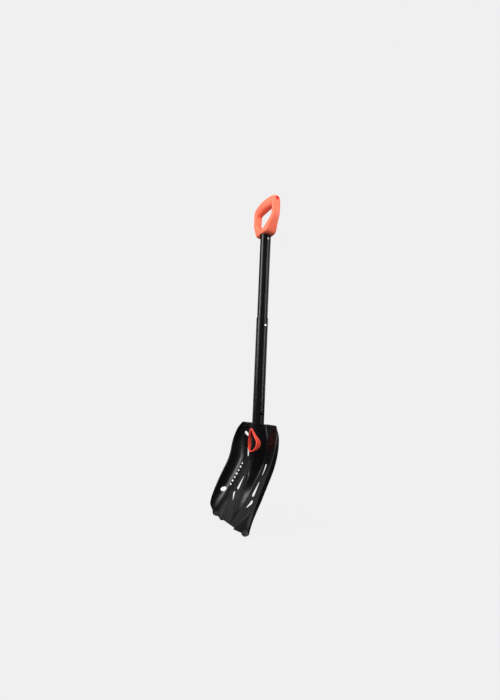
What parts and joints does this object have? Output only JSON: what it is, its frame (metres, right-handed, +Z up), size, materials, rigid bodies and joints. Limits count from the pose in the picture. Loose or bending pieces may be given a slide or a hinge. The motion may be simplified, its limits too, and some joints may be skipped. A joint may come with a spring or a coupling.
{
  "type": "avalanche shovel",
  "caption": "Packable avalanche shovel: pressed black aluminium blade with a hoe eye, telescopic oval shaft with push-button latches, and a D grip.",
  "frame": {"origin": "middle of the bottom of the object's box: the cutting edge stands on Z = 0", "axes": "+Z up along the shaft, from the cutting edge to the grip; the blade's scooping face looks towards -Y; +X is the side of the telescope button"},
  "size_m": [0.2446, 0.1101, 0.9471],
  "materials": {
    "black_anodised_aluminium": "satin black anodised",
    "coral_plastic": "fine moulded texture",
    "black_plastic": "matte",
    "bare_steel": "brushed"
  },
  "bodies": {
    "blade": {"blade": "black_anodised_aluminium", "hoe_collar": "coral_plastic", "socket_plate": "black_anodised_aluminium", "blade_rivet_left_1": "black_anodised_aluminium", "blade_rivet_left_2": "black_anodised_aluminium", "blade_rivet_left_3": "black_anodised_aluminium", "blade_rivet_right_1": "black_anodised_aluminium", "blade_rivet_right_2": "black_anodised_aluminium", "blade_rivet_right_3": "black_anodised_aluminium"},
    "lower_shaft": {"lower_tube": "black_anodised_aluminium", "lower_tube_end_plug": "black_plastic", "blade_lock_leaf_spring": "bare_steel"},
    "blade_lock": {"blade_lock_button": "bare_steel"},
    "upper_shaft": {"upper_tube": "black_anodised_aluminium", "upper_tube_end_plug": "black_plastic", "telescope_leaf_spring": "bare_steel", "grip": "coral_plastic", "grip_rivet": "bare_steel", "grip_end_plug_left": "coral_plastic", "grip_end_plug_right": "coral_plastic"},
    "telescope_latch": {"telescope_button": "bare_steel"}
  },
  "joints": [
    {"name": "blade_release", "type": "slide", "parent": "blade", "child": "lower_shaft", "axis": [0, 0, 1], "range_m": [0, 0.095], "deforming": ["blade_lock_button", "blade_lock_leaf_spring"]},
    {"name": "blade_lock_press", "type": "slide", "parent": "lower_shaft", "child": "blade_lock", "axis": [0, -1, 0], "range_m": [0, 0.006], "stiffness_N_per_m": 400, "springref_m": -0.004, "deforming": ["blade_lock_leaf_spring"]},
    {"name": "telescope_slide", "type": "slide", "parent": "lower_shaft", "child": "upper_shaft", "axis": [0, 0, -1], "range_m": [0, 0.2585], "deforming": ["telescope_button", "telescope_leaf_spring"]},
    {"name": "telescope_latch_press", "type": "slide", "parent": "upper_shaft", "child": "telescope_latch", "axis": [-1, 0, 0], "range_m": [0, 0.0042], "stiffness_N_per_m": 400, "springref_m": -0.004, "deforming": ["telescope_leaf_spring"]}
  ]
}
